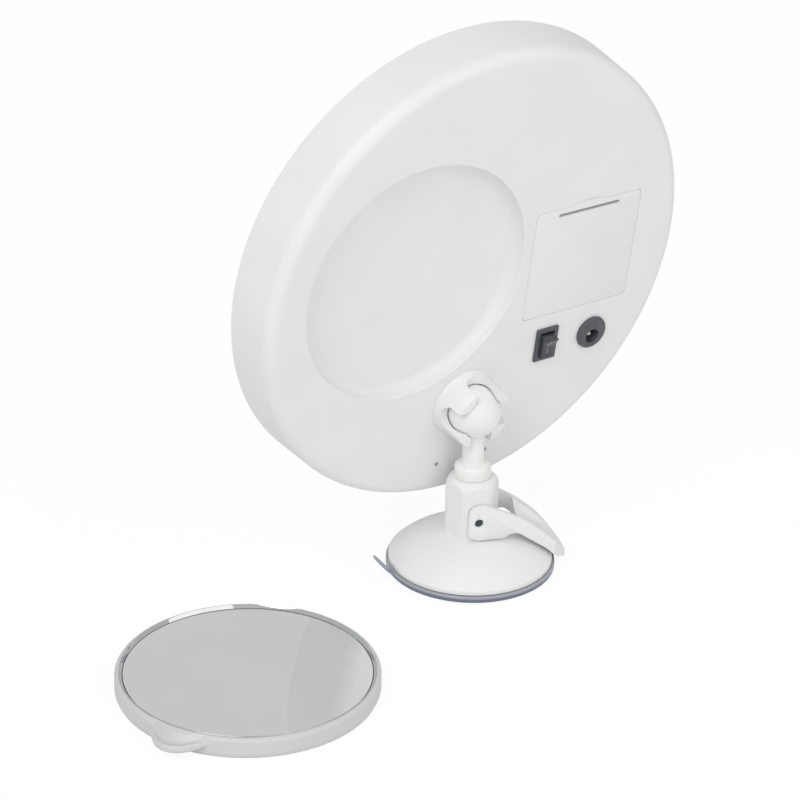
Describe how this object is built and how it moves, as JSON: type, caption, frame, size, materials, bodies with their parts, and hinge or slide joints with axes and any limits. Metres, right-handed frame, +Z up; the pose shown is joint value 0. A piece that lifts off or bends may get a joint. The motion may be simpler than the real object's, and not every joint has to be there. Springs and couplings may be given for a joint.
{
  "type": "lighted makeup mirror",
  "caption": "Round lighted makeup mirror on a suction base with a clamp lever, tilting and swivelling on a ball joint, with a loose magnifying spot mirror.",
  "frame": {"origin": "centre of the suction pad's underside", "axes": "+Z up; the mirror faces -Y, its back with the battery lid, switch and power jack faces +Y; +X is left in a view from behind"},
  "size_m": [0.2828, 0.1211, 0.2283],
  "materials": {
    "white_plastic": "matt white, lightly textured, injection moulded",
    "stem_plastic": "smooth white, injection moulded",
    "soft_pad": "soft translucent bluish-grey vinyl, glossy",
    "inner_plastic": "matt white inside piece",
    "dark_plastic": "dark grey, satin",
    "steel": "plain bright steel",
    "nickel": "nickel-plated",
    "chrome_trim": "polished chrome-plated trim",
    "mirror_glass": "silvered float glass",
    "frosted": "frosted white acrylic",
    "board": "white solder mask",
    "led": "yellow phosphor under clear resin",
    "foam": "closed-cell foam",
    "backing": "grey filler moulded to the glass"
  },
  "bodies": {
    "stand": {"base_shell": "white_plastic", "suction_pad": "soft_pad"},
    "rod": {"pull_rod": "inner_plastic", "lever_pin": "steel"},
    "clamp_lever": {"lever": "white_plastic"},
    "stem": {"ball_stem": "stem_plastic", "stem_washer": "steel", "stem_screw": "steel"},
    "head": {"rear_cover": "white_plastic", "ball_socket": "white_plastic", "socket_retainer": "inner_plastic", "socket_screws": "steel", "battery_tray": "inner_plastic", "battery_contacts": "nickel", "switch_housing": "dark_plastic", "switch_terminals": "steel", "jack_body": "dark_plastic", "jack_pin": "nickel", "jack_nut": "steel", "front_carrier": "inner_plastic", "cover_screws": "steel", "led_board": "board", "leds": "led", "light_diffuser": "frosted", "front_bezel": "white_plastic", "mirror_foam": "foam", "main_mirror": "mirror_glass", "dish_magnets": "nickel"},
    "lid": {"battery_lid": "white_plastic"},
    "rocker": {"switch_rocker": "dark_plastic"},
    "spot_mirror": {"spot_frame": "white_plastic", "spot_glass": "mirror_glass", "spot_backing": "backing", "spot_magnets": "nickel", "spot_trim_ring": "chrome_trim"}
  },
  "joints": [
    {"name": "rod_slide", "type": "slide", "parent": "stand", "child": "rod", "axis": [0, 0, 1], "range_m": [-0.0018, 0]},
    {"name": "lever_swing", "type": "hinge", "parent": "rod", "child": "clamp_lever", "pos_m": [0, 0, 0.0242], "axis": [0.3746, 0.9272, 0], "range_deg": [0, 68]},
    {"name": "stem_swivel", "type": "hinge", "parent": "stand", "child": "stem", "pos_m": [0, 0, 0.0402], "axis": [0, 0, 1], "continuous": true},
    {"name": "head_tilt", "type": "hinge", "parent": "stem", "child": "head", "pos_m": [0, 0, 0.0686], "axis": [-1, 0, 0], "range_deg": [0, 81]},
    {"name": "lid_hinge", "type": "hinge", "parent": "head", "child": "lid", "pos_m": [-0.0503, -0.00228, 0.10085], "axis": [-1, 0, 0], "range_deg": [0, 80]},
    {"name": "rocker_pivot", "type": "hinge", "parent": "head", "child": "rocker", "pos_m": [-0.0381, -0.00503, 0.08732], "axis": [1, 0, 0], "range_deg": [0, 28]},
    {"name": "spot_lift", "type": "slide", "parent": "stand", "child": "spot_mirror", "axis": [0.6, 0, 0.8], "range_m": [0, 0.15]}
  ],
  "couplings": [
    {"joint": "rod_slide", "follows": "lever_swing", "m_per_rad": -0.001516}
  ]
}
